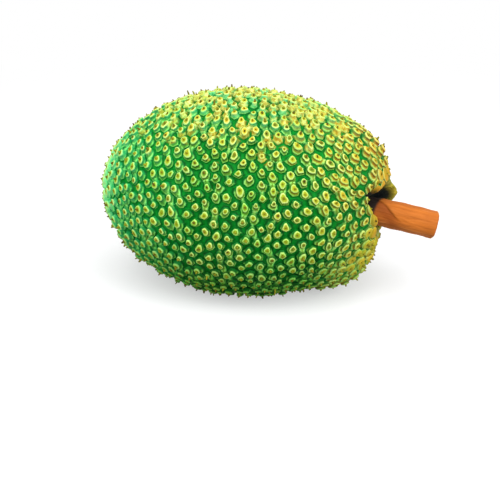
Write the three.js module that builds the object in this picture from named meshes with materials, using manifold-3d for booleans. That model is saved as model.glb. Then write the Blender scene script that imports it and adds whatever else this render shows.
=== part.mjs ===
// A whole breadfruit of the spiny, seeded kind, lying on its side with its cut stalk.
// Millimetres, +Z up. The fruit's long axis runs along X and the stalk end is at +X.
// The origin is the centre of the small flat spot that the fruit rests on.

import * as THREE from "three";
import { ConvexHull } from "three/addons/math/ConvexHull.js";
import { mergeVertices } from "three/addons/utils/BufferGeometryUtils.js";
import Module from "manifold-3d";

const wasm = await Module();
wasm.setup();

// Driving dimensions of the fruit.
const FRUIT_LENGTH = 184; // over the spines, along X
const FRUIT_WIDTH = 130; // over the spines, across
const SPINE_HEIGHT = 3.9;
const SPINE_COUNT = 1300;
const HEIGHT_SPREAD = 0.25; // share by which one spine is taller or shorter than the next
const REST_DEPTH = 1; // how far the resting spot is pressed into the rind

// Slow waves that cross over the rind: their height as a share of the radius, their pace and start.
const WAVES = { height: 0.012, paceX: 3, paceY: 2, start: 0.7, paceZ: 2.5, startZ: -1.1 };

// How the spines find their places: strewn along a spiral, they push each other apart, round by round.
const SPINE_SCATTER = 0.1; // how far a spine is strewn from the spiral, as a share of the radius
const SPINE_ROOM = 8.7; // the distance that two spines of middling size push for
const ROOM_SPREAD = 0.15; // share by which one spine pushes for more or less room than the next
const ROW_CROWDING = 1.25; // how much closer they settle along the fruit than around it
const PUSH_REACH = 20; // spines further apart than this at the start never push each other
const PUSH_STRENGTH = 0.15;
const PUSH_ROUNDS = 60;

// Where the fruit is fuller or flatter than an ellipsoid: the direction of each lump's middle, its
// swelling as a share of the radius, and how far it spreads.
const LUMPS = [
  { x: 0.69, y: -0.16, z: -0.7, swelling: 0.1, spread: 0.18 }, // the heel below the stalk
  { x: 0.8, y: 0.2, z: 0.55, swelling: 0.049, spread: 0.25 }, // the shoulder above it
  { x: 0.5, y: 0.3, z: 0.8, swelling: -0.015, spread: 0.2 }, // a flatter stretch on the top
  { x: 0.96, y: -0.12, z: -0.22, swelling: -0.028, spread: 0.09 }, // the rim below the stalk
  { x: -1, y: 0, z: 0, swelling: 0.009, spread: 0.5 }, // the blossom end
];

// Driving dimensions of the stalk.
const STALK_DIAMETER = 18;
const STALK_FREE_LENGTH = 44; // from the floor of the hollow to the cut end
const STALK_ROOT_LENGTH = 5; // the part held inside the fruit
const STALK_DROOP = THREE.MathUtils.degToRad(12.5); // below the horizontal
const STALK_SWING = THREE.MathUtils.degToRad(5.9); // towards +Y
const STALK_GAP = 0.3; // clearance around the root of the stalk
const STALK_OVAL = { share: 0.05, turn: 0.6 }; // how much wider than tall, and which way it lies
const STALK_RIBS = { share: 0.03, count: 5, turn: 1.9 };
const ROOT_NARROWING = 0.3; // share by which the root is thinner than the cut end
const ROOT_REACH = 6; // how far along the stalk the narrowing fades

// The body under the spines, an ellipsoid round the X axis.
const CORE_LENGTH = FRUIT_LENGTH / 2 - SPINE_HEIGHT;
const CORE_RADIUS = FRUIT_WIDTH / 2 - SPINE_HEIGHT;
const CORE = new THREE.Vector3(CORE_LENGTH, CORE_RADIUS, CORE_RADIUS);
const AXIS_HEIGHT = CORE_RADIUS - REST_DEPTH;

// The hollow that the stalk grows from, the notch in its rim and the smooth shoulder on its far side.
// run: how far the notch runs on from its outer end, into the hollow. bare and spiny: the distances,
// in spreads, up to which there are no spines and from which they are full.
const HOLLOW = { floor: 75, y: -3, z: -4, floorRadius: 10.5, rimRadius: 19 };
const NOTCH = {
  depth: 12,
  y: -20.3,
  z: 8.3,
  run: new THREE.Vector2(13, -9),
  spread: 4.2,
  bare: 0.4,
  spiny: 1.3,
};
const SHOULDER = { height: 8, y: 13, z: 0.5, spread: 5.8, bare: 1.2, spiny: 2.2 };
const BARE_RADIUS = 12; // no spines closer to the stalk's middle than this
const SPINY_RADIUS = 27; // full spines from here on

const RIND = { color: 0x4f9a3a, roughness: 0.55, metalness: 0 };
const BARK = { color: 0xd27a38, roughness: 0.75, metalness: 0 };

const RADIAL_SEGMENTS = 16;
const STALK_STEPS = 8;
const WELD_DISTANCE = 1e-4;

const GOLDEN_ANGLE = Math.PI * (3 - Math.sqrt(5));
const HALVINGS = 40; // how often a search halves the range it looks in
const SALTS = { strayX: 1, strayY: 2, strayZ: 3, height: 4, room: 15 };

// A repeatable number from 0 to 1 for spine number index; salt gives each use its own numbers.
function chance(index, salt) {
  const wave = Math.sin(index * 12.9898 + salt * 78.233) * 43758.5453;
  return wave - Math.floor(wave);
}

function smoothStep(low, high, value) {
  return THREE.MathUtils.smoothstep(value, low, high);
}

// A smooth bump: 1 at its middle, falling away with the distance in spreads.
function bell(distance) {
  return Math.exp((-distance * distance) / 2);
}

// The share of a long ellipsoid's surface that lies between its -X tip and x = position times its length.
function coveredShare(position) {
  const slimness = CORE_RADIUS / CORE_LENGTH;
  const bend = Math.sqrt(1 - slimness * slimness);
  const area = (x) =>
    x * Math.sqrt(1 - bend * bend * x * x) + Math.asin(bend * x) / bend;
  return (area(position) / area(1) + 1) / 2;
}

function positionAtShare(share) {
  let low = -1;
  let high = 1;
  for (let step = 0; step < HALVINGS; step += 1) {
    const middle = (low + high) / 2;
    if (coveredShare(middle) < share) low = middle;
    else high = middle;
  }
  return (low + high) / 2;
}

// A point of the ellipsoid, in the direction given.
function footOf(direction) {
  return direction.clone().multiply(CORE);
}

function straying(index, salt) {
  return SPINE_SCATTER * (chance(index, salt) - 0.5);
}

// Unit directions strewn along a golden-angle spiral from the blossom end to the stalk.
function strewnDirections() {
  const directions = [];
  for (let index = 0; index < SPINE_COUNT; index += 1) {
    const x = positionAtShare((index + 0.5) / SPINE_COUNT);
    const across = Math.sqrt(1 - x * x);
    const turn = index * GOLDEN_ANGLE;
    const direction = new THREE.Vector3(
      x + straying(index, SALTS.strayX),
      across * Math.cos(turn) + straying(index, SALTS.strayY),
      across * Math.sin(turn) + straying(index, SALTS.strayZ),
    );
    directions.push(direction.normalize());
  }
  return directions;
}

// The spines near enough to push each other, in twos, with the distance that each two push for.
function pushingPairs(feet) {
  const luck = (index) => 2 * chance(index, SALTS.room) - 1;
  const room = feet.map((_, index) => SPINE_ROOM * (1 + ROOM_SPREAD * luck(index)));
  const pairs = [];
  feet.forEach((foot, first) => {
    for (let second = 0; second < first; second += 1) {
      if (foot.distanceTo(feet[second]) > PUSH_REACH) continue;
      pairs.push({ first, second, wanted: (room[first] + room[second]) / 2 });
    }
  });
  return pairs;
}

// Where the spines grow, as unit directions, once they have pushed each other apart.
function spineDirections() {
  let directions = strewnDirections();
  const pairs = pushingPairs(directions.map(footOf));
  for (let round = 0; round < PUSH_ROUNDS; round += 1) {
    const feet = directions.map(footOf);
    const moved = feet.map((foot) => foot.clone());
    for (const { first, second, wanted } of pairs) {
      const gap = feet[first].clone().sub(feet[second]);
      const distance = Math.hypot(gap.x * ROW_CROWDING, gap.y, gap.z);
      const push = PUSH_STRENGTH * Math.max(0, wanted / distance - 1);
      moved[first].addScaledVector(gap, push);
      moved[second].addScaledVector(gap, -push);
    }
    directions = moved.map((foot) => foot.divide(CORE).normalize());
  }
  return directions;
}

// How far out the rind stands in a direction, as a share of the ellipsoid's radius there.
function fullness(direction) {
  const { x, y, z } = direction;
  const slanting = Math.sin(WAVES.paceX * x + WAVES.paceY * y + WAVES.start);
  const rising = Math.cos(WAVES.paceZ * z + WAVES.startZ);
  let share = 1 + WAVES.height * slanting * rising;
  for (const lump of LUMPS) {
    share += lump.swelling * bell(direction.distanceTo(lump) / lump.spread);
  }
  return share;
}

// Distance of a point at the stalk end from a feature and its run, or infinity on the blossom half.
function distanceFrom(feature, point) {
  if (point.x < 0) return Infinity;
  const offset = new THREE.Vector2(point.y - feature.y, point.z - feature.z);
  if (feature.run) {
    const share = THREE.MathUtils.clamp(offset.dot(feature.run) / feature.run.lengthSq(), 0, 1);
    offset.addScaledVector(feature.run, -share);
  }
  return offset.length();
}

// The rind between the spines, in the direction given, measured from the middle of the fruit.
function rindPoint(direction) {
  const point = footOf(direction).multiplyScalar(fullness(direction));
  const outside = smoothStep(HOLLOW.floorRadius, HOLLOW.rimRadius, distanceFrom(HOLLOW, point));
  const notch = NOTCH.depth * bell(distanceFrom(NOTCH, point) / NOTCH.spread);
  const shoulder = SHOULDER.height * bell(distanceFrom(SHOULDER, point) / SHOULDER.spread);
  if (point.x > 0) {
    point.x = THREE.MathUtils.lerp(HOLLOW.floor, point.x + shoulder - notch, outside);
  }
  return point;
}

// How tall spine number index grows: full height over the body, fading out round the stalk.
function spineHeight(index, foot) {
  let height = SPINE_HEIGHT * (1 + HEIGHT_SPREAD * (2 * chance(index, SALTS.height) - 1));
  height *= smoothStep(BARE_RADIUS, SPINY_RADIUS, distanceFrom(HOLLOW, foot));
  for (const feature of [NOTCH, SHOULDER]) {
    const away = distanceFrom(feature, foot) / feature.spread;
    height *= smoothStep(feature.bare, feature.spiny, away);
  }
  return height;
}

function spineTip(direction, index) {
  const foot = rindPoint(direction);
  const outward = direction.clone().divide(CORE).normalize();
  return foot.clone().addScaledVector(outward, spineHeight(index, foot));
}

// The neighbouring spines in threes, as faces of the hull round their feet.
function neighbourTriples(directions) {
  const feet = directions.map(footOf);
  const numberOf = new Map(feet.map((foot, index) => [foot, index]));
  const hull = new ConvexHull().setFromPoints(feet);
  return hull.faces.map((face) =>
    [0, 1, 2].map((corner) => numberOf.get(face.getEdge(corner).head().point)),
  );
}

// A surface of pyramids: each spine is a tip, and the valleys meet at a point between three spines.
function spinyRind() {
  const directions = spineDirections();
  const triples = neighbourTriples(directions);
  const tips = directions.map(spineTip);
  const valleys = triples.map((triple) => {
    const middle = new THREE.Vector3();
    triple.forEach((index) => middle.add(directions[index]));
    return rindPoint(middle.normalize());
  });

  const tripleBeside = new Map();
  triples.forEach((triple, number) => {
    triple.forEach((from, corner) => {
      tripleBeside.set(`${from}>${triple[(corner + 1) % 3]}`, number);
    });
  });

  const faces = [];
  for (const [side, number] of tripleBeside) {
    const [from, to] = side.split(">");
    const opposite = tripleBeside.get(`${to}>${from}`);
    faces.push(Number(from), tips.length + opposite, tips.length + number);
  }
  const geometry = new THREE.BufferGeometry().setFromPoints([...tips, ...valleys]);
  geometry.setIndex(faces);
  return geometry;
}

function solidFrom(geometry) {
  const bare = geometry.clone();
  bare.deleteAttribute("normal");
  bare.deleteAttribute("uv");
  const merged = mergeVertices(bare, WELD_DISTANCE);
  return new wasm.Manifold(
    new wasm.Mesh({
      numProp: 3,
      vertProperties: new Float32Array(merged.attributes.position.array),
      triVerts: new Uint32Array(merged.index.array),
    }),
  );
}

function geometryFrom(solid) {
  const mesh = solid.getMesh();
  const geometry = new THREE.BufferGeometry();
  geometry.setAttribute("position", new THREE.BufferAttribute(mesh.vertProperties, 3));
  geometry.setIndex(new THREE.BufferAttribute(mesh.triVerts, 1));
  return geometry;
}

// The stalk's radius: a little flattened and ribbed, narrowing to its root.
function stalkRadius(along, angle) {
  const oval = STALK_OVAL.share * Math.cos(2 * angle + STALK_OVAL.turn);
  const ribbed = STALK_RIBS.share * Math.cos(STALK_RIBS.count * angle + STALK_RIBS.turn);
  const narrowed = 1 - ROOT_NARROWING * Math.exp(-along / ROOT_REACH);
  return (STALK_DIAMETER / 2) * (1 + oval + ribbed) * narrowed;
}

// The stalk along +X, its root at x = 0. Clearance grows it on all sides, for the socket it sits in.
function stalkGeometry(clearance) {
  const length = STALK_ROOT_LENGTH + STALK_FREE_LENGTH;
  const geometry = new THREE.CylinderGeometry(1, 1, 1, RADIAL_SEGMENTS, STALK_STEPS);
  geometry.rotateZ(-Math.PI / 2);
  geometry.translate(0.5, 0, 0);
  const places = geometry.attributes.position;
  for (let i = 0; i < places.count; i += 1) {
    const [share, y, z] = [places.getX(i), places.getY(i), places.getZ(i)];
    const along = share * (length + 2 * clearance) - clearance;
    const angle = Math.atan2(z, y);
    const radius = Math.hypot(y, z) * (stalkRadius(along, angle) + clearance);
    places.setXYZ(i, along, radius * Math.cos(angle), radius * Math.sin(angle));
  }
  return geometry;
}

// Where the stalk sits, measured from the middle of the fruit.
function placeStalk(object) {
  const leaning = new THREE.Vector3(1, Math.tan(STALK_SWING), -Math.tan(STALK_DROOP)).normalize();
  object.quaternion.setFromUnitVectors(new THREE.Vector3(1, 0, 0), leaning);
  object.position.set(HOLLOW.floor, HOLLOW.y, HOLLOW.z);
  object.position.addScaledVector(leaning, -STALK_ROOT_LENGTH);
  object.updateMatrix();
  return object;
}

function fruitMesh() {
  const socket = stalkGeometry(STALK_GAP);
  socket.applyMatrix4(placeStalk(new THREE.Object3D()).matrix);
  const ground = new THREE.BoxGeometry(2 * FRUIT_LENGTH, 2 * FRUIT_WIDTH, FRUIT_WIDTH);
  ground.translate(0, 0, -AXIS_HEIGHT - FRUIT_WIDTH / 2);
  const solid = solidFrom(spinyRind()).subtract(solidFrom(socket)).subtract(solidFrom(ground));
  const mesh = new THREE.Mesh(geometryFrom(solid), new THREE.MeshStandardMaterial(RIND));
  mesh.name = "fruit";
  return mesh;
}

function stalkMesh() {
  const bark = new THREE.MeshStandardMaterial(BARK);
  const mesh = placeStalk(new THREE.Mesh(stalkGeometry(0), bark));
  mesh.name = "stalk";
  return mesh;
}

const breadfruit = new THREE.Group();
breadfruit.position.z = AXIS_HEIGHT;
breadfruit.add(fruitMesh(), stalkMesh());

export default breadfruit;
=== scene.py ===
"""A whole spiny breadfruit with its cut stalk, dressed around its CAD frame.

The rind is one mesh of blunt, pitted spines, each at the place that it has on the CAD solid. The shape
functions work in millimetres, measured from the middle of the fruit, and the meshes are made in metres.
"""

import math
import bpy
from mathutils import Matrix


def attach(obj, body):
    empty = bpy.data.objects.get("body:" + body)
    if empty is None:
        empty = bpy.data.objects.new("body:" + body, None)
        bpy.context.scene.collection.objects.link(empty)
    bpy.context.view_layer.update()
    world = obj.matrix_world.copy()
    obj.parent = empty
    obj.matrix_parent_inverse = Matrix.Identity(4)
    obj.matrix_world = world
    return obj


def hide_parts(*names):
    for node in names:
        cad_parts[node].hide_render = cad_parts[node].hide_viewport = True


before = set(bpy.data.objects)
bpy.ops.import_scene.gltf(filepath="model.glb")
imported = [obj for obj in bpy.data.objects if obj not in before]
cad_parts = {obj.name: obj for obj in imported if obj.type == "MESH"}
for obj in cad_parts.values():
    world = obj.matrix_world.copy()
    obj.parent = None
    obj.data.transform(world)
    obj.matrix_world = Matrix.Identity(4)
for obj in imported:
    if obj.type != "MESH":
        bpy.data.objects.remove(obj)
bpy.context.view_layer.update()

from types import SimpleNamespace

import bmesh
import bpy
import numpy as np
from mathutils import Vector

MM = 0.001

# The fruit, with the same driving dimensions as its CAD solid.
FRUIT_LENGTH = 184
FRUIT_WIDTH = 130
SPINE_HEIGHT = 3.9
SPINE_COUNT = 1300
HEIGHT_SPREAD = 0.25
REST_DEPTH = 1
CORE_LENGTH = FRUIT_LENGTH / 2 - SPINE_HEIGHT
CORE_RADIUS = FRUIT_WIDTH / 2 - SPINE_HEIGHT
CORE = np.array([CORE_LENGTH, CORE_RADIUS, CORE_RADIUS])
AXIS_HEIGHT = CORE_RADIUS - REST_DEPTH

# Slow waves over the rind: their height as a share of the radius, their pace and start.
WAVES = dict(height=0.012, x=3, y=2, start=0.7, z=2.5, start_z=-1.1)

# How the spines find their places: strewn along a spiral, they push each other apart, round by round.
GOLDEN_ANGLE = math.pi * (3 - math.sqrt(5))
HALVINGS = 40  # of the range that a search looks in
SPINE_SCATTER = 0.1
SPINE_ROOM = 8.7
ROOM_SPREAD = 0.15
ROW_CROWDING = 1.25
PUSH_REACH = 20
PUSH_STRENGTH = 0.15
PUSH_ROUNDS = 60

# Where the fruit is fuller or flatter than an ellipsoid: direction, swelling as a share, and spread.
LUMPS = [
    ((0.69, -0.16, -0.7), 0.1, 0.18),  # the heel below the stalk
    ((0.8, 0.2, 0.55), 0.049, 0.25),  # the shoulder above it
    ((0.5, 0.3, 0.8), -0.015, 0.2),  # a flatter stretch on the top
    ((-1, 0, 0), 0.009, 0.5),  # the blossom end
    ((0.96, -0.12, -0.22), -0.028, 0.09),  # the rim below the stalk
]

# The hollow that the stalk grows from, the notch in its rim and the smooth shoulder on its far side.
HOLLOW = dict(floor=75, y=-3, z=-4, floor_radius=10.5, rim_radius=19)
NOTCH = dict(depth=12, y=-20.3, z=8.3, run=(13, -9), spread=4.2, bare=0.4, spiny=1.3)
SHOULDER = dict(height=8, y=13, z=0.5, spread=5.8, bare=1.2, spiny=2.2)
BARE_RADIUS = 12
SPINY_RADIUS = 27
BARE_FADE = (8, 2)  # the bare skin fades in between these distances outside BARE_RADIUS
SHOULDER_FADE = (1.9, 1.1)  # and between these distances from the shoulder, in its spreads

# Round the stalk the spines are broad, low lobes.
LOBE_REACH = (20, 29)  # between these distances from the stalk's middle, lobes turn into spines
LOBE_DROP = 14  # how much further they reach below the stalk
LOBE_DROP_SPAN = (6, 25)  # from here to here below the stalk's middle
LOWER_LOBES = 0.5  # how much like lobes they are there
LOBE_SPREAD = 0.45  # how much broader a lobe is
LOBE_JOINING = 0.5  # how far a lobe fills the way to its neighbours

# The stalk, with the same driving dimensions as its CAD solid.
STALK_DIAMETER = 18
STALK_FREE_LENGTH = 44
STALK_ROOT_LENGTH = 5
STALK_LENGTH = STALK_ROOT_LENGTH + STALK_FREE_LENGTH
STALK_DROOP = math.radians(12.5)
STALK_SWING = math.radians(5.9)
STALK_OVAL = dict(share=0.05, turn=0.6)
STALK_RIBS = dict(share=0.03, count=5, turn=1.9)
ROOT_NARROWING = 0.3
ROOT_REACH = 6

# One spine, ring by ring from the valley to the pit on its top. A ring's reach adds up shares of the
# cell's outline, the foot's oval and the top's oval; then come its height as a share of the spine's
# and its level in the colouring, for a spine and for a lobe.
RINGS = [
    (0.88, 0.00, 0.00, 0.05, 0.12, 0.12),
    (0.12, 0.88, 0.00, 0.42, 0.42, 0.84),
    (0.00, 0.25, 0.75, 0.54, 0.60, 1.12),
    (0.00, 0.00, 1.04, 0.86, 0.82, 1.34),
    (0.00, 0.00, 0.68, 0.97, 1.00, 1.40),
]
PIT_HEIGHT = 0.8
PIT_LEVEL = 1.6
LOBE_LEVEL = 1.45  # the pit's level on a lobe
FULL_COLOUR_HEIGHT = 0.4  # spines below this share of the full height have only the lower levels

# The ovals of the foot and the top: half their width across the grain, which runs up the fruit's
# sides, and half their length with it.
FOOT_ACROSS = 2.0
FOOT_WITH = 3.7
FOOT_LENGTHS = (0.85, 0.4)  # the shortest foot's share of that, and how much more the longest has
FOOT_DROP = 0.3  # how much further a foot reaches on its lower side
FOOT_LIMIT = 0.92  # the widest foot, as a share of the way to the cell's outline
JOINED_LIMIT = 0.96  # and where it has grown into its neighbour
TOP_ACROSS = 1.82
TOP_WITH = 2.2
TOP_LENGTHS = (0.85, 0.6)
TOP_LIMIT = 0.82  # the widest top, as a share of the foot
STRETCH = 0.45  # how much longer the tops are towards the stalk
STRETCH_SPAN = (20, 60)  # from here to here along the fruit
SLIMMING = 0.06  # how much slimmer the spines are towards the stalk
SLIMMING_SPAN = (30, 65)
SIZE_SPREAD = 0.16  # how much broader or slimmer one spine is than another
OVAL_TURN = 0.45  # how far an oval is turned out of the grain at most, in radians
OVAL_WAVES = dict(share=0.08, count=3, start=6)  # they make the ovals less even
LOWER_SIDE = (-0.2, 0.45)  # how far down a direction points where the lower side begins and is full

LIGHT = np.array([0, 0.37, 0.93])  # the spines lean towards it
LEAN = 0.22
LEAN_SPREAD = 0.12
GRAIN_TURN = 1.5  # how strongly the grain turns away from the stalk
GRAIN_TURN_X = (0.3, 0.7)  # in these directions towards the stalk
GRAIN_TURN_Z = (0, 0.4)  # and upwards

# Some neighbours in line with the grain have grown together by a saddle between them.
SADDLE_SHARE = 0.6  # how many of them
MORE_SADDLES = 0.2  # how many more towards the stalk, and on the underside
MORE_SADDLES_X = (0.3, 0.7)
MORE_SADDLES_Z = (0, -0.5)
IN_LINE = (0.78, 0.92)  # how closely a pair follows the grain to be hardly and fully in line
SADDLE_HEIGHT = 0.68  # as a share of the spine's height
SADDLE_FOOT = 0.6  # how high the valleys beside a saddle stand, as a share of it
SADDLE_LEVEL = 0.52
JOINED = (0.4, 1)  # the shares of a full saddle from which the feet join and are joined

# The dried style left standing in the pit of a spine.
STYLE_SIDES = 6
STYLE_RINGS = [(0.0, 0.62), (0.6, 0.56), (0.92, 0.38)]  # share of its length, radius
STYLE_ROOT = 0.03  # how far below the pit it starts, as a share of the spine's height
STYLE_TOP = 1.26  # how high it reaches, as a share of that
STYLE_SPREAD = 0.3  # how much longer or shorter one is than another
LONG_STYLES = 0.93  # past this share of all styles, they are up to twice as long
STYLE_BEND = 0.64  # how far its tip is bent aside at most, each way
STOUTNESS_SPREAD = 0.35
STYLED_HEIGHT = 0.62  # spines below this share of the full height have none

# The uses of chance. Each has its own numbers, by its place in this list, from 1.
SALTS = (
    "stray_x stray_y stray_z height lean_across lean_with oval_turn foot_length top_length oval_waves "
    "tone style_length bend_across bend_with room saddle stoutness dryness long_style size"
).split()


def chance(index, salt):
    """A repeatable number from 0 to 1 for each index, scrambled from it and the named use."""
    wave = np.sin(index * 12.9898 + (SALTS.index(salt) + 1) * 78.233) * 43758.5453
    return wave - np.floor(wave)


def spread(index, salt, reach):
    """A repeatable number from -reach to reach for each index."""
    return (2 * chance(index, salt) - 1) * reach


def smooth_step(low, high, value):
    share = np.clip((value - low) / (high - low), 0, 1)
    return share * share * (3 - 2 * share)


def unit(vectors):
    return vectors / np.linalg.norm(vectors, axis=-1, keepdims=True)


def dots(first, second):
    """The scalar products of two lists of vectors, one by one."""
    return np.einsum("ij,ij->i", first, second)


def bell(distance):
    """A smooth bump: 1 at its middle, falling away with the distance in spreads."""
    return np.exp(-(distance**2) / 2)


# The shape of the fruit, with the same functions as its CAD solid.


def covered_share(position):
    """The share of a long ellipsoid's surface between its -X tip and x = position times its length."""
    slimness = CORE_RADIUS / CORE_LENGTH
    bend = math.sqrt(1 - slimness * slimness)

    def area(x):
        return x * np.sqrt(1 - (bend * x) ** 2) + np.arcsin(bend * x) / bend

    return (area(position) / area(1) + 1) / 2


def strewn_directions():
    """Unit directions strewn along a golden-angle spiral from the blossom end to the stalk."""
    index = np.arange(SPINE_COUNT)
    share = (index + 0.5) / SPINE_COUNT
    low = np.full(SPINE_COUNT, -1.0)
    high = np.full(SPINE_COUNT, 1.0)
    for _ in range(HALVINGS):
        middle = (low + high) / 2
        short = covered_share(middle) < share
        low = np.where(short, middle, low)
        high = np.where(short, high, middle)
    x = (low + high) / 2
    across = np.sqrt(1 - x * x)
    turn = index * GOLDEN_ANGLE
    directions = np.stack([x, across * np.cos(turn), across * np.sin(turn)], axis=1)
    for axis, salt in enumerate(("stray_x", "stray_y", "stray_z")):
        directions[:, axis] += (chance(index, salt) - 0.5) * SPINE_SCATTER
    return unit(directions)


def room_sizes(index):
    """How much room each spine pushes for, as a share of the middling spine's."""
    return 1 + spread(index, "room", ROOM_SPREAD)


def spine_directions():
    """Where the spines grow, as unit directions, once they have pushed each other apart."""
    directions = strewn_directions()
    feet = directions * CORE
    distances = np.linalg.norm(feet[:, None] - feet, axis=2)
    first, second = np.nonzero(np.tril(distances <= PUSH_REACH, -1))
    room = SPINE_ROOM * room_sizes(np.arange(SPINE_COUNT))
    wanted = (room[first] + room[second]) / 2
    for _ in range(PUSH_ROUNDS):
        feet = directions * CORE
        gaps = feet[first] - feet[second]
        distance = np.linalg.norm(gaps * [ROW_CROWDING, 1, 1], axis=1)
        push = PUSH_STRENGTH * np.maximum(0, wanted / distance - 1)
        moves = gaps * push[:, None]
        np.add.at(feet, first, moves)
        np.add.at(feet, second, -moves)
        directions = unit(feet / CORE)
    return directions


def fullness(directions):
    """How far out the rind stands in each direction, as a share of the ellipsoid's radius."""
    x, y, z = np.moveaxis(directions, -1, 0)
    wave = np.sin(WAVES["x"] * x + WAVES["y"] * y + WAVES["start"])
    share = 1 + WAVES["height"] * wave * np.cos(WAVES["z"] * z + WAVES["start_z"])
    for middle, swelling, reach in LUMPS:
        share += swelling * bell(np.linalg.norm(directions - middle, axis=-1) / reach)
    return share


def distance_from(feature, points):
    """Distance from a feature or its run at the stalk end, or infinity on the blossom half."""
    offset = points[..., 1:] - (feature["y"], feature["z"])
    if "run" in feature:
        run = np.array(feature["run"])
        share = np.clip(offset @ run / (run @ run), 0, 1)
        offset = offset - share[..., None] * run
    return np.where(points[..., 0] < 0, np.inf, np.linalg.norm(offset, axis=-1))


def uncut_points(directions):
    """The rind between the spines as if it had neither hollow nor notch."""
    points = directions * CORE * fullness(directions)[..., None]
    off_shoulder = distance_from(SHOULDER, points) / SHOULDER["spread"]
    points[..., 0] += SHOULDER["height"] * bell(off_shoulder)
    return points


def rind_points(directions):
    """The rind between the spines, in each direction given."""
    points = uncut_points(directions)
    off_stalk = distance_from(HOLLOW, points)
    outside = smooth_step(HOLLOW["floor_radius"], HOLLOW["rim_radius"], off_stalk)
    notch = NOTCH["depth"] * bell(distance_from(NOTCH, points) / NOTCH["spread"])
    x = points[..., 0]
    hollowed = HOLLOW["floor"] + (x - notch - HOLLOW["floor"]) * outside
    points[..., 0] = np.where(x > 0, hollowed, x)
    return points


def sunk_depths(directions, points):
    """How deep the hollow and the notch have sunk the rind's points."""
    return (uncut_points(directions) - points)[:, 0]


def spine_heights(index, feet):
    """Full height over the body, fading out round the stalk."""
    height = SPINE_HEIGHT * (1 + spread(index, "height", HEIGHT_SPREAD))
    height *= smooth_step(BARE_RADIUS, SPINY_RADIUS, distance_from(HOLLOW, feet))
    for feature in (NOTCH, SHOULDER):
        share = distance_from(feature, feet) / feature["spread"]
        height *= smooth_step(feature["bare"], feature["spiny"], share)
    return height


# The rind's own mesh.


def lobe_share(points):
    """1 where the spines are lobes round the stalk, less further below it, and 0 elsewhere."""
    near, far = LOBE_REACH
    distance = distance_from(HOLLOW, points)
    below = smooth_step(*LOBE_DROP_SPAN, HOLLOW["z"] - points[..., 2])
    lower = LOWER_LOBES * smooth_step(far, near, distance - LOBE_DROP * below)
    return np.maximum(smooth_step(far, near, distance), lower)


def make_spines():
    """What the rind and the dried styles need to know about the spines."""
    index = np.arange(SPINE_COUNT)
    directions = spine_directions()
    feet = rind_points(directions)
    outward = unit(directions / CORE)
    uphill = LIGHT - (outward @ LIGHT)[:, None] * outward
    off_stalk = outward[:, :1] * outward - [1, 0, 0]
    turning = smooth_step(*GRAIN_TURN_X, directions[:, :1])
    turning = turning * smooth_step(*GRAIN_TURN_Z, directions[:, 2:])
    grain = unit(uphill + GRAIN_TURN * turning * off_stalk)
    across = np.cross(grain, outward)
    lean_across = spread(index, "lean_across", LEAN_SPREAD)[:, None]
    lean_with = spread(index, "lean_with", LEAN_SPREAD)[:, None]
    return SimpleNamespace(
        index=index,
        directions=directions,
        feet=feet,
        heights=spine_heights(index, feet),
        lobed=lobe_share(feet),
        grain=grain,
        across=across,
        uphill=uphill,
        growth=unit(outward + LEAN * uphill + lean_across * across + lean_with * grain),
    )


def neighbour_triples(directions):
    """The neighbouring spines in threes, as the faces of the hull round their feet, facing out."""
    mesh = bmesh.new()
    for foot in directions * CORE:
        mesh.verts.new(foot)
    mesh.verts.index_update()
    bmesh.ops.convex_hull(mesh, input=mesh.verts)
    triples = np.array([[vertex.index for vertex in face.verts] for face in mesh.faces])
    mesh.free()
    first, second, third = np.moveaxis(directions[triples], 1, 0)
    inward = dots(np.cross(second - first, third - first), first) < 0
    triples[inward] = triples[inward][:, ::-1]
    return triples


def cell_outlines(triples):
    """The corners of every spine's cell in order, and the triples that each middle lies between.

    A corner is the valley point of a triple or, numbered on from those, the middle of a valley
    between two spines. Neighbouring cells share them.
    """
    triple_beside = {}
    next_round = [{} for _ in range(SPINE_COUNT)]
    for number, triple in enumerate(triples.tolist()):
        for corner in range(3):
            spine, neighbour, other = triple[corner:] + triple[:corner]
            triple_beside[spine, neighbour] = number
            next_round[spine][neighbour] = other
    middles = {}
    outlines = []
    for spine, after in enumerate(next_round):
        outline = []
        start = neighbour = min(after)
        while True:
            number = triple_beside[spine, neighbour]
            outline.append(number)
            neighbour = after[neighbour]
            pair = tuple(sorted((number, triple_beside[spine, neighbour])))
            outline.append(len(triples) + middles.setdefault(pair, len(middles)))
            if neighbour == start:
                break
        outlines.append(outline)
    return outlines, np.array(list(middles))


def saddle_heights(spines, triples, middles):
    """How high each corner of the cells stands, as a share of the spines' height beside it."""
    directions = spines.directions
    pairs = [set(triples[one]) & set(triples[other]) for one, other in middles]
    first, second = np.array([sorted(pair) for pair in pairs]).T
    gap = unit((directions[first] - directions[second]) * CORE)
    in_line = smooth_step(*IN_LINE, np.abs(dots(gap, spines.grain[first])))
    many = SADDLE_SHARE + MORE_SADDLES * smooth_step(*MORE_SADDLES_X, directions[first, 0])
    many += MORE_SADDLES * smooth_step(*MORE_SADDLES_Z, directions[first, 2])
    number = first + second * SPINE_COUNT
    joined = smooth_step(1 - many, 1 - many / 2, chance(number, "saddle")) * in_line
    beside = np.zeros(len(triples))
    for side in (0, 1):
        np.maximum.at(beside, middles[:, side], SADDLE_FOOT * joined)
    return SADDLE_HEIGHT * np.concatenate([beside, joined])


def oval_reach(angle, half_across, half_with):
    return 1 / np.hypot(np.cos(angle) / half_across, np.sin(angle) / half_with)


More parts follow.
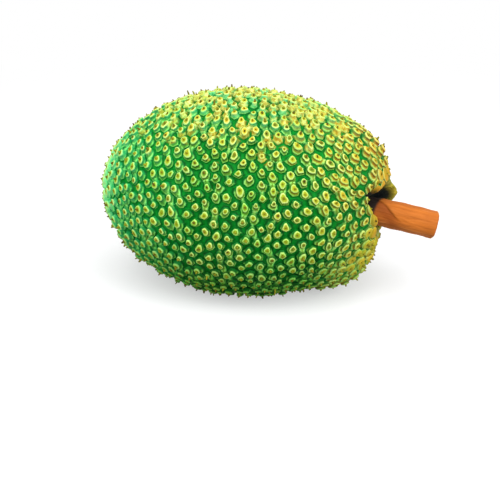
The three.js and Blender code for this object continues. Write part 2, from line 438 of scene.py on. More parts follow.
def spine_reaches(spines, owner, to_corner, saddle):
    """How far each cell, its spine's foot and its top reach towards each of the cell's corners.

    The last result is 1 on the spine's lower side and where it has grown into its neighbour; there the
    material paints shade and a rim light.
    """
    lobed = spines.lobed[owner]
    along = spines.feet[owner, 0]
    reach = to_corner * CORE
    full = np.linalg.norm(reach, axis=1)
    angle = np.arctan2(dots(reach, spines.grain[owner]), dots(reach, spines.across[owner]))
    turned = angle - spread(owner, "oval_turn", OVAL_TURN)
    size = room_sizes(owner) * (1 + LOBE_SPREAD * lobed)
    size *= 1 - SLIMMING * smooth_step(*SLIMMING_SPAN, along) * (1 - lobed)
    start = OVAL_WAVES["start"] * chance(owner, "oval_waves")
    waves = OVAL_WAVES["share"] * np.cos(OVAL_WAVES["count"] * turned + start)
    size *= 1 + spread(owner, "size", SIZE_SPREAD) + waves

    shortest, more = FOOT_LENGTHS
    foot_with = FOOT_WITH * (shortest + more * chance(owner, "foot_length"))
    foot = size * oval_reach(turned, FOOT_ACROSS, foot_with)
    downhill = -dots(reach, spines.uphill[owner]) / full
    foot = np.minimum(foot * (1 + FOOT_DROP * downhill), FOOT_LIMIT * full)
    joined = smooth_step(*JOINED, saddle / SADDLE_HEIGHT)
    foot += np.maximum(joined, LOBE_JOINING * lobed) * (JOINED_LIMIT * full - foot)

    shortest, more = TOP_LENGTHS
    stretch = shortest + more * chance(owner, "top_length") ** 2
    stretch += STRETCH * smooth_step(*STRETCH_SPAN, along)
    top = size * oval_reach(turned, TOP_ACROSS, TOP_WITH * stretch)
    top = np.minimum(top, TOP_LIMIT * foot)
    lower = np.maximum(smooth_step(*LOWER_SIDE, downhill), joined) * (1 - lobed)
    return full, foot, top, lower


def loft_faces(rings, tip):
    """The faces from each ring of vertices to the next, and from the last ring to one vertex."""
    faces = []
    for outer, inner in zip(rings, rings[1:]):
        faces += zip(outer, outer[1:] + outer[:1], inner[1:] + inner[:1], inner)
    last = rings[-1]
    faces += [(one, other, tip) for one, other in zip(last, last[1:] + last[:1])]
    return faces


def cell_faces(outlines, corner_count):
    """The faces from the outline of each cell, ring by ring, to the pit of its spine."""
    faces = []
    ring_size = sum(len(outline) for outline in outlines)
    pits = corner_count + len(RINGS) * ring_size
    start = corner_count
    for spine, outline in enumerate(outlines):
        rings = [outline]
        for low in range(start, pits, ring_size):
            rings.append(list(range(low, low + len(outline))))
        faces += loft_faces(rings, pits + spine)
        start += len(outline)
    return faces


def new_object(name, data):
    made = bpy.data.objects.new(name, data)
    bpy.context.scene.collection.objects.link(made)
    return made


def mesh_object(name, vertices, faces):
    """A mesh piece above the ground, from vertices in millimetres from the fruit's middle."""
    mesh = bpy.data.meshes.new(name)
    placed = (vertices + [0, 0, AXIS_HEIGHT]) * MM
    placed[:, 2] = np.maximum(placed[:, 2], 0)
    mesh.from_pydata(placed.tolist(), [], faces)
    mesh.polygons.foreach_set("use_smooth", [True] * len(mesh.polygons))
    mesh.update()
    return new_object(name, mesh)


def store(piece, name, values):
    """Keeps one number for each vertex, for the material to read."""
    layer = piece.data.attributes.new(name, "FLOAT", "POINT")
    layer.data.foreach_set("value", np.asarray(values, dtype=np.float32))


def make_rind(spines):
    """The rind's mesh: the cells' corners first, then the rings of all spines, then their pits."""
    directions, heights, lobed = spines.directions, spines.heights, spines.lobed
    triples = neighbour_triples(directions)
    outlines, middles = cell_outlines(triples)
    valleys = unit(directions[triples].sum(axis=1))
    corners = np.concatenate([valleys, unit(valleys[middles[:, 0]] + valleys[middles[:, 1]])])

    saddles = saddle_heights(spines, triples, middles)
    owner = np.repeat(np.arange(SPINE_COUNT), [len(outline) for outline in outlines])
    corner = np.concatenate(outlines)
    saddle = saddles[corner]
    centre = directions[owner]
    to_corner = corners[corner] - centre
    full, foot, top, lower = spine_reaches(spines, owner, to_corner, saddle)

    # Each layer has its points and their sunk depths, colour levels, lower sides and owners.
    floor = rind_points(corners)
    rise = np.zeros(len(corners))
    rise[corner] = heights[owner] * saddle
    points = floor + rise[:, None] * unit(corners / CORE)
    joined = saddles / SADDLE_HEIGHT
    nobody = np.full(len(corners), -1)
    layers = [(points, sunk_depths(corners, floor), joined * SADDLE_LEVEL, joined, nobody)]
    for outline_share, foot_share, top_share, height, level, lobe_level in RINGS:
        reach = outline_share * full + foot_share * foot + top_share * top
        direction = unit(centre + (reach / full)[:, None] * to_corner)
        ground = rind_points(direction)
        rise = np.maximum(height, saddle) * heights[owner]
        points = ground + rise[:, None] * spines.growth[owner]
        level = level + (lobe_level - level) * lobed[owner]
        level = np.maximum(level, joined[corner] * SADDLE_LEVEL)
        layers.append((points, sunk_depths(direction, ground), level, lower, owner))
    points = spines.feet + (PIT_HEIGHT * heights)[:, None] * spines.growth
    sunk = sunk_depths(directions, spines.feet)
    level = PIT_LEVEL + (LOBE_LEVEL - PIT_LEVEL) * lobed
    layers.append((points, sunk, level, np.zeros(SPINE_COUNT), spines.index))

    vertices, sunk, level, lower, owner = (np.concatenate(parts) for parts in zip(*layers))
    rind = mesh_object("rind", vertices, cell_faces(outlines, len(corners)))
    owned = owner >= 0
    share = np.minimum(heights[owner] / (FULL_COLOUR_HEIGHT * SPINE_HEIGHT), 1)
    store(rind, "level", level * np.where(owned, share, 1))
    # Where the lower side's painted shade and painted rim light go.
    store(rind, "lower", lower)
    store(rind, "tone", np.where(owned, chance(owner, "tone"), 0.5))
    store(rind, "sunk", sunk)
    off_stalk = distance_from(HOLLOW, vertices) - BARE_RADIUS
    off_shoulder = distance_from(SHOULDER, vertices) / SHOULDER["spread"]
    bare = np.maximum(smooth_step(*BARE_FADE, off_stalk), smooth_step(*SHOULDER_FADE, off_shoulder))
    store(rind, "bare", bare)
    store(rind, "lobed", lobe_share(vertices))
    return rind


def make_styles(spines):
    """The dried style left standing in the pit of each spine, thin, brown and a little bent."""
    vertices, faces, dryness, endness = [], [], [], []
    for index in np.flatnonzero(spines.heights >= STYLED_HEIGHT * SPINE_HEIGHT):
        height, growth = spines.heights[index], spines.growth[index]
        across, grain = spines.across[index], spines.grain[index]
        foot = spines.feet[index] + growth * height * (PIT_HEIGHT - STYLE_ROOT)
        length = height * (STYLE_TOP - PIT_HEIGHT) * (1 + spread(index, "style_length", STYLE_SPREAD))
        length *= 1 + smooth_step(LONG_STYLES, 1, chance(index, "long_style"))
        bend = across * spread(index, "bend_across", STYLE_BEND)
        bend = bend + grain * spread(index, "bend_with", STYLE_BEND)
        stoutness = 1 + spread(index, "stoutness", STOUTNESS_SPREAD)
        first = len(vertices)
        for share, radius in STYLE_RINGS:
            centre = foot + growth * length * share + bend * share * share
            for step in range(STYLE_SIDES):
                turn = 2 * math.pi * step / STYLE_SIDES
                reach = math.cos(turn) * grain + math.sin(turn) * across
                vertices.append(centre + radius * stoutness * reach)
            endness += [share] * STYLE_SIDES
        tip = len(vertices)
        vertices.append(foot + growth * length + bend)
        endness.append(1)
        dryness += [chance(index, "dryness")] * (len(vertices) - first)
        rings = [list(range(low, low + STYLE_SIDES)) for low in range(first, tip, STYLE_SIDES)]
        faces.append(tuple(reversed(rings[0])))
        faces += loft_faces(rings, tip)
    styles = mesh_object("dried_styles", np.array(vertices), faces)
    store(styles, "dryness", dryness)
    store(styles, "end", endness)
    return styles


# The stalk. Its lengths run along it from its root, and its angles round it from +Y over the top.
STALK_SIDES = 120
STALK_STEPS = 96

# The dry bark's relief, in millimetres. The fibres wander from side to side as they run along.
FIBRE_WANDER = [(0.12, 7, 1.3), (0.05, 2.3, 0)]  # how far, in radians, over what length, and start
BARK_WAVES = (0.22, 2.9, 1.5, 6.1, 0.7)  # height, length, twist, the swell's length and its start
FINE_FIBRES = (0.07, 38)  # height, and count round the stalk
COARSE_FIBRES = (0.05, 23, 2)  # and start
FURROW = (0.25, -2.2, 0.1)  # depth, angle and width

# The bark has peeled off below one curved edge, from the top of the stalk's root to its near side.
PEEL_START = math.radians(92)  # the edge's angle round the stalk at its root
PEEL_TURN = math.radians(82)  # how far round it runs
PEEL_LENGTH = (7, 28)  # where along the stalk the edge turns
PEEL_WIDTH = math.radians(95)
PEEL_DEPTH = 0.9
PEEL_STEP = 0.09  # how wide its sharp edge is, in radians
PEEL_FADE = 0.35  # the share of its width where its other edge starts to fade
PEEL_END = (3, -9)  # it ends between these lengths past the end of the turn

# Painted shade on the stalk's root, which lies in the shadow of the hollow's rim.
ROOT_SHADE_LENGTH = 9.5  # the painted shade's length at its shortest, on the near side
ROOT_SHADE_SPREAD = 3.5
ROOT_SHADE_NEAREST = math.radians(170)  # the angle where it is that short
ROOT_SHADE_EDGE = 1

# The cut end: its rounded edge, its rings and its rough face.
CUT_EDGE = dict(reach=0.8, depth=0.5)
CUT_RINGS = [(0.93, 0.05), (0.8, -0.25), (0.5, -0.35), (0.2, -0.3)]  # share of the radius, rise
CUT_MIDDLE = -0.3
CUT_CHIPS = dict(height=0.12, count=9)
CUT_COLOUR = dict(reach=0.6, share=0.96)  # how far back and how far out it goes


def stalk_frame():
    """The middle of the stalk's root, and how the stalk is turned out of the X axis."""
    leaning = Vector((1, math.tan(STALK_SWING), -math.tan(STALK_DROOP))).normalized()
    turn = Vector((1, 0, 0)).rotation_difference(leaning)
    root = Vector((HOLLOW["floor"], HOLLOW["y"], HOLLOW["z"])) - leaning * STALK_ROOT_LENGTH
    return root, turn


def stalk_radius(along, angle):
    section = 1 + STALK_OVAL["share"] * np.cos(2 * angle + STALK_OVAL["turn"])
    section = section + STALK_RIBS["share"] * np.cos(STALK_RIBS["count"] * angle + STALK_RIBS["turn"])
    narrowed = 1 - ROOT_NARROWING * np.exp(-along / ROOT_REACH)
    return STALK_DIAMETER / 2 * section * narrowed


def peeled_share(along, angle):
    """1 where the bark has peeled off, 0 where it is whole. The material also paints shade with it,
    most near the edge.
    """
    low, high = PEEL_LENGTH
    edge = PEEL_START + PEEL_TURN * smooth_step(low, high, along)
    below = np.mod(angle - edge, 2 * math.pi)
    share = smooth_step(0, PEEL_STEP, below) * smooth_step(PEEL_WIDTH, PEEL_FADE * PEEL_WIDTH, below)
    return share * smooth_step(*PEEL_END, along - high)


def root_shade_share(along, angle):
    """1 where painted shade from the hollow darkens the bark, further along on its far side."""
    reach = ROOT_SHADE_LENGTH + ROOT_SHADE_SPREAD * (1 - np.cos(angle - ROOT_SHADE_NEAREST))
    return smooth_step(reach + ROOT_SHADE_EDGE, reach - ROOT_SHADE_EDGE, along)


def stalk_relief(along, angle):
    """The bark's waves, fibres, furrow and peeled patch."""
    wander = sum(reach * np.sin(along / length + start) for reach, length, start in FIBRE_WANDER)
    height, length, twist, swell_length, start = BARK_WAVES
    waves = height * np.sin(along / length + twist * angle) * np.sin(along / swell_length + start)
    height, count = FINE_FIBRES
    fine = height * np.sin(count * (angle + wander))
    height, count, start = COARSE_FIBRES
    coarse = height * np.sin(count * (angle - wander) + start)
    depth, place, width = FURROW
    furrow = depth * np.exp(-(((angle - place + wander) / width) ** 2))
    return waves + fine + coarse - furrow - PEEL_DEPTH * peeled_share(along, angle)


def stalk_rows():
    """The angles round the stalk, and how far along it each row of its mesh is and how far out."""
    angles = np.linspace(-math.pi, math.pi, STALK_SIDES, endpoint=False)
    rows = []
    for step in range(STALK_STEPS + 1):
        along = STALK_LENGTH * step / STALK_STEPS
        radius = stalk_radius(along, angles) + stalk_relief(along, angles)
        edge = max(0.0, along - (STALK_LENGTH - CUT_EDGE["reach"])) / CUT_EDGE["reach"]
        rows.append((np.full(STALK_SIDES, along), radius - CUT_EDGE["depth"] * edge * edge))
    outermost = rows[-1][1]
    for share, rise in CUT_RINGS:
        chips = CUT_CHIPS["height"] * np.sin(CUT_CHIPS["count"] * angles)
        rows.append((STALK_LENGTH + rise + chips, outermost * share))
    return angles, rows


def make_stalk():
    angles, rows = stalk_rows()
    vertices = []
    for along, radius in rows:
        for place, reach, angle in zip(along, radius, angles):
            vertices.append((place, reach * math.cos(angle), reach * math.sin(angle)))
    cut_middle = len(vertices)
    rings = [list(range(low, low + STALK_SIDES)) for low in range(0, cut_middle, STALK_SIDES)]
    faces = loft_faces(rings, cut_middle) + loft_faces([rings[0][::-1]], cut_middle + 1)
    vertices += [(STALK_LENGTH + CUT_MIDDLE, 0, 0), (0, 0, 0)]
    root, turn = stalk_frame()
    placed = np.array([root + turn @ Vector(vertex) for vertex in vertices])
    stalk = mesh_object("stalk_bark", placed, faces)
    along, across, up = np.array(vertices).T
    angle = np.arctan2(up, across)
    store(stalk, "peeled", peeled_share(along, angle))
    store(stalk, "root_shade", root_shade_share(along, angle))
    inside = np.hypot(across, up) < STALK_DIAMETER / 2 * CUT_COLOUR["share"]
    store(stalk, "cut", (along > STALK_LENGTH - CUT_COLOUR["reach"]) * inside)
    return stalk


# The patterns of noise: how fine each is, in waves to the metre, and how many finer ones lie on it.
NOISES = dict(
    blotches=(22, 3), speckles=(900, 3), pores=(2600, 2), mottle=(420, 2), gold_patches=(90, 2),
    gold=(380, 2), skin=(260, 3), dark=(150, 4), style_patches=(500, 2), fibres=(700, 4),
    streaks=(160, 3), bark_patches=(70, 2), cut=(900, 3),
)


def shade(red, green, blue):
    """A display colour from 0 to 255, as the linear colour of a material."""
    linear = []
    for value in (red, green, blue):
        value = value / 255
        linear.append(value / 12.92 if value <= 0.04045 else ((value + 0.055) / 1.055) ** 2.4)
    return (*linear, 1.0)


class Nodes:
    """The nodes of a material or world, with short calls to add and link them."""

    def __init__(self, tree):
        self.tree = tree
        tree.nodes.clear()

    def add(self, kind, inputs=None, **settings):
        node = self.tree.nodes.new(kind)
        for name, value in settings.items():
            setattr(node, name, value)
        for name, value in (inputs or {}).items():
            if isinstance(value, bpy.types.NodeSocket):
                self.tree.links.new(value, node.inputs[name])
            else:
                node.inputs[name].default_value = value
        return node

    def attribute(self, name):
        return self.add("ShaderNodeAttribute", attribute_name=name).outputs["Fac"]

    def math(self, operation, first, second):
        return self.add("ShaderNodeMath", {0: first, 1: second}, operation=operation).outputs[0]

    def plus(self, first, second):
        return self.math("ADD", first, second)

    def minus(self, first, second):
        return self.math("SUBTRACT", first, second)

    def times(self, first, second):
        return self.math("MULTIPLY", first, second)

    def larger(self, first, second):
        return self.math("MAXIMUM", first, second)

    def place(self):
        return self.add("ShaderNodeTexCoord").outputs["Object"]

    def noise(self, name, vector=None, distortion=0.0):
        scale, detail = NOISES[name]
        inputs = {"Vector": vector or self.place(), "Distortion": distortion}
        inputs.update({"Scale": scale, "Detail": detail})
        return self.add("ShaderNodeTexNoise", inputs).outputs["Fac"]

    def ramp(self, factor, stops):
        """A colour from stops, each a position and a display colour."""
        node = self.add("ShaderNodeValToRGB", {"Fac": factor})
        elements = node.color_ramp.elements
        while len(elements) < len(stops):
            elements.new(1.0)
        for element, (position, *colour) in zip(elements, stops):
            element.position = position
            element.color = shade(*colour)
        return node.outputs["Color"]

    def mix(self, factor, first, second, blend="MIX"):
        inputs = {0: factor, 6: first, 7: second}
        node = self.add("ShaderNodeMix", inputs, data_type="RGBA", blend_type=blend)
        return node.outputs[2]

    def tinted(self, colour, tint, share):
        """The colour multiplied by a tint, as far as the share says."""
        return self.mix(share, colour, self.mix(1.0, colour, tint, "MULTIPLY"))

    def span(self, value, low, high, to_low=0, to_high=1, shape="LINEAR"):
        """A value between low and high, as one between to_low and to_high."""
        inputs = {0: value, 1: low, 2: high, 3: to_low, 4: to_high}
        return self.add("ShaderNodeMapRange", inputs, interpolation_type=shape).outputs["Result"]

    def bump(self, height, strength, distance, **under):
        """A normal for fine relief, on top of another Normal where one is given."""
        inputs = {"Height": height, "Strength": strength, "Distance": distance, **under}
        return self.add("ShaderNodeBump", inputs).outputs["Normal"]


def new_material(name):
    material = bpy.data.materials.new(name)
    material.use_nodes = True
    return material, Nodes(material.node_tree)


def finish_surface(nodes, colour, roughness, specular, **normal):
    inputs = {"Base Color": colour, "Roughness": roughness, "Specular IOR Level": specular}
    surface = nodes.add("ShaderNodeBsdfPrincipled", {**inputs, **normal})
    nodes.add("ShaderNodeOutputMaterial", {"Surface": surface.outputs[0]})


# A spine's display colours from the valley, 0, to the pit, 1: green and ripe spines, each with the
# colours of its upper and its lower side. Those of the lower side end at the rim of its top. They are
# painted light: the flank in painted shade, a pale band at its foot as a painted rim light, and a dark
# crescent under the top's rim as a painted shadow. The pale ring at the rim of a top is partly the
# top's own pale tissue and partly a painted highlight.
GREEN_UPPER = [
    (0, 0, 134, 38), (0.1, 0, 122, 32), (0.19, 0, 68, 16),
    (0.27, 24, 130, 50), (0.44, 40, 116, 38), (0.5, 198, 222, 122),
    (0.58, 220, 226, 124), (0.63, 178, 182, 46), (0.8, 170, 170, 30),
    (0.92, 158, 150, 22), (1, 128, 112, 14),
]
GREEN_LOWER = [
    (0, 0, 134, 38), (0.1, 0, 118, 30), (0.17, 0, 66, 14),
    (0.21, 84, 186, 82), (0.25, 188, 232, 118), (0.28, 164, 210, 88),
    (0.32, 112, 154, 46), (0.39, 86, 114, 30), (0.44, 40, 62, 16),
    (0.48, 40, 62, 16), (0.52, 206, 230, 118),
]
RIPE_UPPER = [
    (0, 4, 138, 46), (0.12, 10, 130, 40), (0.19, 30, 88, 22),
    (0.27, 48, 146, 66), (0.44, 120, 128, 40), (0.5, 218, 222, 118),
    (0.58, 222, 212, 102), (0.64, 230, 184, 56), (0.86, 218, 158, 40),
    (1, 168, 106, 22),
]
RIPE_LOWER = [
    (0, 4, 138, 46), (0.12, 16, 122, 38), (0.17, 50, 84, 22),
    (0.21, 180, 208, 96), (0.25, 210, 230, 126), (0.28, 224, 212, 98),
    (0.32, 212, 166, 52), (0.39, 190, 132, 38), (0.44, 138, 94, 26),
    (0.48, 138, 94, 26), (0.52, 226, 212, 100),
]
HEIGHT_WOBBLE = 0.12  # how unevenly the colours follow the height
RIM = (0.51, 0.53)  # where the lower side's colours give way to the upper side's

# A span has the two values between which something changes, and then what it is at each of them,
# where that isn't 0 and 1. X and Z are in metres, from the origin on the ground.

# Where the rind ripens: towards the stalk, further from it higher up, and on the heel.
RIPE_SLOPE = 0.6
RIPE_SPAN = (0.14, 0.178)
RIPE_STRAY = 0.05  # how far a blotch or a spine's own tone moves that
HEEL_SLOPE = 0.5
HEEL_SPAN = (0.036, 0.052)
RIPE_MOST = 0.85
RIPE_TOP_Z = (0.09, 0.11, 0, 0.5)
RIPE_TOP_HEIGHT = (0.58, 0.62)  # on the fruit's top, only the pits are ripe

# The spines' own tones.
LIME = shade(196, 246, 190)
LIME_TONES = (0.35, 1, 0, 0.6)
MOSS = shade(40, 112, 40)
MOSSY_TONES = (0.3, 0.24)
MOSSY_HEIGHT = (0.6, 0.7)
MOSSY_LOBES = (0, 1, 0.65, 0)
TEAL = shade(170, 250, 255)
TEAL_BLOTCHES = (0.35, 0.65, 0, 0.5)

# The painted mint sheen on the spines' sides: a pale sheen of light towards the top and the blossom
# end.
SIDE_FOOT = (0.08, 0.3)  # where a spine's sides begin
SIDE_RIM = (0.58, 0.5)  # and end
HIGH_Z = (0.1, 0.122, 0, 0.7)
BLOSSOM_X = (-0.02, -0.06, 0, 0.45)
TIP_X = (-0.066, -0.086, 0, 0.85)
CROWN_Z = (0.11, 0.125, 0, 0.6)
PALENESS = 0.35  # how much paler the painted sheen is at the tip and on the crown
MOTTLE = 0.6
MINT_SHEEN = [
    (0.36, 0, 118, 60), (0.5, 8, 142, 78), (0.62, 60, 186, 112),
    (0.78, 132, 220, 140), (0.95, 196, 228, 136),
]

# Gold patches on the spines' sides, more of them towards the top.
GOLD_Z = (0.092, 0.118, -0.2, 0.06)
GOLD_EDGE = (0.49, 0.57, 0, 0.75)
GOLD = [(0.38, 178, 140, 26), (0.5, 212, 188, 60), (0.62, 228, 232, 130)]

# Tints by place: brighter and bluer-green towards the blossom end, painted shade on the underside and
# golden at the shoulder.
BLOSSOM_TINT = (0.9, 1.26, 1.34, 1)
BLOSSOM_TINT_X = (-0.01, -0.05)
BLOSSOM_TINT_HEIGHT = (0.56, 0.48)
SHADED = shade(150, 196, 140)
SHADED_Z = (0.05, 0.015)
SHADED_HEEL = (0.052, 0.036, 0.2, 1)
GOLDEN = (1.0, 0.8, 0.78, 1)
GOLDEN_X = (0.06, 0.08)
GOLDEN_Z = (0.05, 0.075)

# The bare skin, and the painted shade in the hollow and the notch, by how deep they are sunk in
# millimetres.
SKIN = [(0.3, 140, 136, 36), (0.7, 190, 176, 60)]
HOLLOW_SHADE = [(0.35, 8, 14, 18), (0.55, 20, 28, 24), (0.72, 58, 56, 28)]
HOLLOW_SHADE_DEPTH = (3.4, 8)
HOLLOW_SHADE_STRAY = 2

PORES = dict(strength=0.35, distance=0.2 * MM)
SPECKLES = dict(strength=0.5, distance=0.5 * MM)
RIND_ROUGHNESS = (0.3, 0.7, 0.5, 0.68)


def spine_colours(nodes, at, upper, lower):
    """The colours up a spine, from the ramps for its upper and its lower side, its lower side with
    painted shade and painted rim light.
    """
    upper = nodes.ramp(at.height, upper)
    lower = nodes.mix(nodes.span(at.height, *RIM), nodes.ramp(at.height, lower), upper)
    return nodes.mix(at.lower, upper, lower)


def ripeness(nodes, at):
    """How ripe the spines are: ripe towards the stalk and on the heel, and their pits on the top."""
    towards_stalk = nodes.plus(at.x, nodes.times(at.z, RIPE_SLOPE))
    for stray in (at.blotch, at.tone):
        towards_stalk = nodes.plus(towards_stalk, nodes.times(stray, RIPE_STRAY))
    ripe = nodes.span(towards_stalk, *RIPE_SPAN)
    ripe = nodes.larger(ripe, nodes.span(at.heel, *HEEL_SPAN))
    ripe = nodes.times(nodes.larger(ripe, at.lobed), RIPE_MOST)
    pits = nodes.span(at.height, *RIPE_TOP_HEIGHT)
    return nodes.larger(ripe, nodes.times(nodes.span(at.z, *RIPE_TOP_Z), pits))


def own_tones(nodes, at, colour):
    """Some spines are more lime, some have mossy pits, and broad blotches are more teal."""
    colour = nodes.tinted(colour, LIME, nodes.span(at.tone, *LIME_TONES))
    pits = nodes.span(at.height, *MOSSY_HEIGHT)
    mossy = nodes.times(nodes.span(at.tone, *MOSSY_TONES), pits)
    mossy = nodes.times(mossy, nodes.span(at.lobed, *MOSSY_LOBES))
    colour = nodes.mix(mossy, colour, MOSS)
    return nodes.tinted(colour, TEAL, nodes.span(at.blotch, *TEAL_BLOTCHES))


def side_colours(nodes, at, colour):
    """The painted mint sheen and the gold patches on the spines' sides."""
    side = nodes.times(nodes.span(at.height, *SIDE_FOOT), nodes.span(at.height, *SIDE_RIM))
    # A painted pale sheen of light on the sides, towards the top and the blossom end, paler at the tip
    # and on the crown.
    tip = nodes.span(at.x, *TIP_X)
    pale = nodes.times(nodes.larger(tip, nodes.span(at.z, *CROWN_Z)), PALENESS)
    mottle = nodes.times(nodes.plus(at.height, nodes.noise("mottle")), MOTTLE)
    mint = nodes.ramp(nodes.plus(pale, mottle), MINT_SHEEN)
    sheen_share = nodes.larger(nodes.span(at.x, *BLOSSOM_X), tip)
    sheen_share = nodes.larger(nodes.span(at.z, *HIGH_Z), sheen_share)
    colour = nodes.mix(nodes.times(sheen_share, side), colour, mint)
    patches = nodes.plus(nodes.noise("gold_patches"), nodes.span(at.z, *GOLD_Z))
    golden = nodes.times(nodes.span(patches, *GOLD_EDGE), side)
    return nodes.mix(golden, colour, nodes.ramp(nodes.noise("gold"), GOLD))


def tints_by_place(nodes, at, colour):
    for tint, along, up in (
        (BLOSSOM_TINT, nodes.span(at.x, *BLOSSOM_TINT_X), nodes.span(at.height, *BLOSSOM_TINT_HEIGHT)),
        (SHADED, nodes.span(at.heel, *SHADED_HEEL), nodes.span(at.z, *SHADED_Z)),
        (GOLDEN, nodes.span(at.x, *GOLDEN_X), nodes.span(at.z, *GOLDEN_Z)),
    ):
        colour = nodes.tinted(colour, tint, nodes.times(along, up))
    return colour


def rind_material():
    material, nodes = new_material("rind")
    speckle = nodes.noise("speckles")
    wobble = nodes.times(nodes.minus(speckle, 0.5), HEIGHT_WOBBLE)
    x, _, z = nodes.add("ShaderNodeSeparateXYZ", {"Vector": nodes.place()}).outputs
    at = SimpleNamespace(
        x=x,
        z=z,
        heel=nodes.minus(x, nodes.times(z, HEEL_SLOPE)),
        height=nodes.span(nodes.plus(nodes.attribute("level"), wobble), 0, PIT_LEVEL),
        lower=nodes.attribute("lower"),
        lobed=nodes.attribute("lobed"),
        tone=nodes.attribute("tone"),
        blotch=nodes.noise("blotches"),
    )
    green = spine_colours(nodes, at, GREEN_UPPER, GREEN_LOWER)
    ripe = spine_colours(nodes, at, RIPE_UPPER, RIPE_LOWER)
    colour = nodes.mix(ripeness(nodes, at), green, ripe)
    for dressed in (own_tones, side_colours, tints_by_place):
        colour = dressed(nodes, at, colour)
    skin = nodes.ramp(nodes.noise("skin"), SKIN)
    colour = nodes.mix(nodes.attribute("bare"), colour, skin)
    # Painted shade in the hollow and the notch, darker the deeper the rind is sunk.
    depth = nodes.plus(nodes.attribute("sunk"), nodes.times(speckle, HOLLOW_SHADE_STRAY))
    dark = nodes.ramp(nodes.noise("dark"), HOLLOW_SHADE)
    colour = nodes.mix(nodes.span(depth, *HOLLOW_SHADE_DEPTH), colour, dark)
    pores = nodes.bump(nodes.noise("pores"), **PORES)
    normal = nodes.bump(speckle, **SPECKLES, Normal=pores)
    roughness = nodes.span(speckle, *RIND_ROUGHNESS)
    finish_surface(nodes, colour, roughness, specular=0.08, Normal=normal)
    return material


# From a green style to a dry one. A style is drier towards its end.
STYLE_COLOURS = [(0.2, 160, 160, 40), (0.55, 124, 116, 28), (0.75, 84, 72, 26), (0.95, 50, 42, 24)]
STYLE_PATCHES = 0.2
STYLE_DRYNESS = 0.4
STYLE_END = 0.32


def style_material():
    material, nodes = new_material("dried_style")
    patches = nodes.times(nodes.noise("style_patches"), STYLE_PATCHES)
    ageing = nodes.plus(patches, nodes.times(nodes.attribute("dryness"), STYLE_DRYNESS))
    ageing = nodes.plus(ageing, nodes.times(nodes.attribute("end"), STYLE_END))
    finish_surface(nodes, nodes.ramp(ageing, STYLE_COLOURS), roughness=0.8, specular=0.1)
    return material


# The bark's colours and fibres.
BARK = [(0.25, 128, 64, 20), (0.45, 170, 94, 32), (0.6, 182, 102, 36), (0.8, 200, 124, 56)]
BARK_STREAKS = shade(198, 108, 24)
BARK_PATCHES = shade(160, 84, 22)
# The peeled patch: the bark beneath, darkened with painted shade that is deepest near the peeled edge.
UNDER_BARK_SHADED = shade(140, 64, 14)
# the painted shade on the stalk's root
ROOT_SHADE = shade(36, 26, 22)
CUT = [(0.3, 176, 120, 66), (0.7, 232, 188, 128)]
STREAKS = (0.3, 0.7, 0, 0.6)
PATCHES = (0.45, 0.75, 0, 0.45)
UNDER_BARK_SHADED_SHARE = 0.7
FIBRE_WIDTH = 0.07  # as a share of their length
FIBRE_CURL = 0.4
FIBRE_RELIEF = dict(strength=0.6, distance=0.4 * MM)
BARK_ROUGHNESS = (0.3, 0.7, 0.82, 0.62)


def bark_material():
    material, nodes = new_material("stalk_bark")
    _, turn = stalk_frame()
    straight = {"Vector": nodes.place(), "Rotation": turn.inverted().to_euler()}
    straight = nodes.add("ShaderNodeMapping", straight).outputs["Vector"]
    drawn_out = {"Vector": straight, "Scale": (FIBRE_WIDTH, 1, 1)}
    drawn_out = nodes.add("ShaderNodeMapping", drawn_out).outputs["Vector"]
    fibre = nodes.noise("fibres", drawn_out, FIBRE_CURL)
    colour = nodes.ramp(fibre, BARK)
    streaks = nodes.span(nodes.noise("streaks", drawn_out), *STREAKS)
    colour = nodes.mix(streaks, colour, BARK_STREAKS)
    patches = nodes.span(nodes.noise("bark_patches"), *PATCHES)
    colour = nodes.mix(patches, colour, BARK_PATCHES)
    under_bark_shaded = nodes.mix(UNDER_BARK_SHADED_SHARE, colour, UNDER_BARK_SHADED)
    cut = nodes.ramp(nodes.noise("cut"), CUT)
    # The peeled patch with painted shade below its edge, the painted shade on the stalk's root, and the
    # cut end.
    for share, other in (("peeled", under_bark_shaded), ("root_shade", ROOT_SHADE), ("cut", cut)):
        colour = nodes.mix(nodes.attribute(share), colour, other)
    normal = nodes.bump(fibre, **FIBRE_RELIEF)
    roughness = nodes.span(fibre, *BARK_ROUGHNESS)
    finish_surface(nodes, colour, roughness, specular=0.2, Normal=normal)
    return material


# The stage, in metres and watts. Lamps stand at an azimuth, round from -Y, and an elevation.
FLOOR_REACH = 6.0
FLOOR_COLOUR = (0.5, 0.5, 0.51, 1)
FLOOR_LIFT = 0.48  # the floor's glow for the camera, which keeps it pale
SHADOW_REACH = (0.22, 0.55)  # the floor turns from lit to plain white between these radii
WHITE = (1, 1, 1, 1)
WORLD_STRENGTH = 0.42
SOFT_BOXES = [
    dict(name="top_box", azimuth=20, elevation=78, distance=0.9, size=0.9, power=7.2),
    dict(name="key_box", azimuth=-35, elevation=42, distance=1, size=0.7, power=5),
    dict(name="side_box", azimuth=65, elevation=30, distance=1.1, size=0.7, power=7.4),
]
CAMERA_AZIMUTH = math.radians(11)
CAMERA_ELEVATION = math.radians(22)
CAMERA_DISTANCE = 0.741
CAMERA_AIM_BELOW = math.radians(2.81)  # below the middle of the fruit
CAMERA_AIM_RIGHT = math.radians(0.15)  # to the right of it
CAMERA_LENS = 85  # millimetres
SENSOR_WIDTH = 36
FRUIT_MIDDLE = Vector((0, 0, AXIS_HEIGHT * MM))


def towards(azimuth, elevation):
    """The direction from the fruit at this azimuth and elevation."""
    level = math.cos(elevation)
    return Vector((math.sin(azimuth) * level, -math.cos(azimuth) * level, math.sin(elevation)))


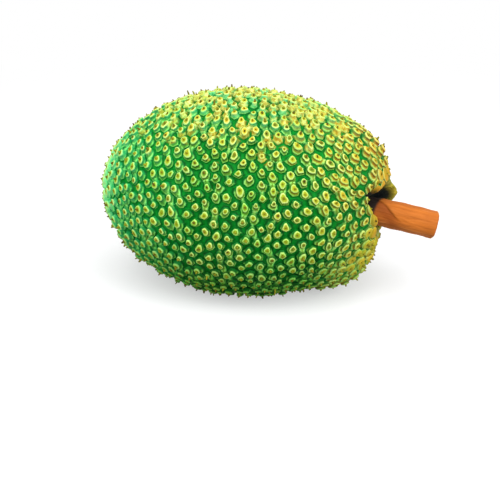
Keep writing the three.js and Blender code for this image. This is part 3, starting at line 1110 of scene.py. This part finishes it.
def stand(thing, place, aim):
    """Puts a lamp or camera at its place from the fruit's middle, aimed in a direction."""
    thing.location = FRUIT_MIDDLE + place
    thing.rotation_mode = "QUATERNION"
    thing.rotation_quaternion = aim.to_track_quat("-Z", "Y")


def make_camera():
    data = bpy.data.cameras.new("camera")
    data.lens, data.sensor_width = CAMERA_LENS, SENSOR_WIDTH
    camera = new_object("camera", data)
    aim = -towards(CAMERA_AZIMUTH - CAMERA_AIM_RIGHT, CAMERA_ELEVATION + CAMERA_AIM_BELOW)
    stand(camera, towards(CAMERA_AZIMUTH, CAMERA_ELEVATION) * CAMERA_DISTANCE, aim)
    bpy.context.scene.camera = camera


def seen_share(nodes):
    """1 for rays that show a background: from the camera, mirrored or through glass."""
    rays = nodes.add("ShaderNodeLightPath").outputs
    seen = nodes.larger(rays["Is Camera Ray"], rays["Is Glossy Ray"])
    return nodes.larger(seen, rays["Is Transmission Ray"])


def make_world():
    """Soft light from all round, and a white background."""
    world = bpy.data.worlds.new("studio")
    world.use_nodes = True
    bpy.context.scene.world = world
    nodes = Nodes(world.node_tree)
    dim = nodes.add("ShaderNodeBackground", {"Color": WHITE, "Strength": WORLD_STRENGTH})
    white = nodes.add("ShaderNodeBackground", {"Color": WHITE, "Strength": 1.0})
    inputs = {0: seen_share(nodes), 1: dim.outputs[0], 2: white.outputs[0]}
    mixed = nodes.add("ShaderNodeMixShader", inputs)
    nodes.add("ShaderNodeOutputWorld", {"Surface": mixed.outputs[0]})


def make_floor():
    """A pale floor that keeps the fruit's shadow and turns white further out."""
    material, nodes = new_material("studio_floor")
    seen = seen_share(nodes)
    matt = nodes.add("ShaderNodeBsdfDiffuse", {"Color": FLOOR_COLOUR})
    lift = nodes.add("ShaderNodeEmission", {"Strength": nodes.times(seen, FLOOR_LIFT)})
    lit = nodes.add("ShaderNodeAddShader", {0: matt.outputs[0], 1: lift.outputs[0]})
    white = nodes.add("ShaderNodeEmission", {"Strength": 1.0})
    length = nodes.add("ShaderNodeVectorMath", {0: nodes.place()}, operation="LENGTH")
    plain = nodes.span(length.outputs["Value"], *SHADOW_REACH, shape="SMOOTHSTEP")
    plain = nodes.times(plain, seen)
    surface = nodes.add("ShaderNodeMixShader", {0: plain, 1: lit.outputs[0], 2: white.outputs[0]})
    nodes.add("ShaderNodeOutputMaterial", {"Surface": surface.outputs[0]})
    mesh = bpy.data.meshes.new("floor")
    signs = ((-1, -1), (1, -1), (1, 1), (-1, 1))
    corners = [(x * FLOOR_REACH, y * FLOOR_REACH, 0) for x, y in signs]
    mesh.from_pydata(corners, [], [(0, 1, 2, 3)])
    mesh.materials.append(material)
    floor = new_object("floor", mesh)


def make_light(name, azimuth, elevation, distance, size, power):
    """A square soft box that faces the fruit."""
    light = bpy.data.lights.new(name, "AREA")
    light.energy = power
    light.size = size
    back = towards(math.radians(azimuth), math.radians(elevation))
    stand(new_object(name, light), back * distance, -back)


make_camera()
make_world()
make_floor()
for box in SOFT_BOXES:
    make_light(**box)

spines = make_spines()
rind = make_rind(spines)
rind.data.materials.append(rind_material())
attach(rind, "root")
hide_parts("fruit")

styles = make_styles(spines)
styles.data.materials.append(style_material())
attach(styles, "root")

stalk = make_stalk()
stalk.data.materials.append(bark_material())
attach(stalk, "root")
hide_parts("stalk")

bpy.context.scene.view_settings.view_transform = "Standard"
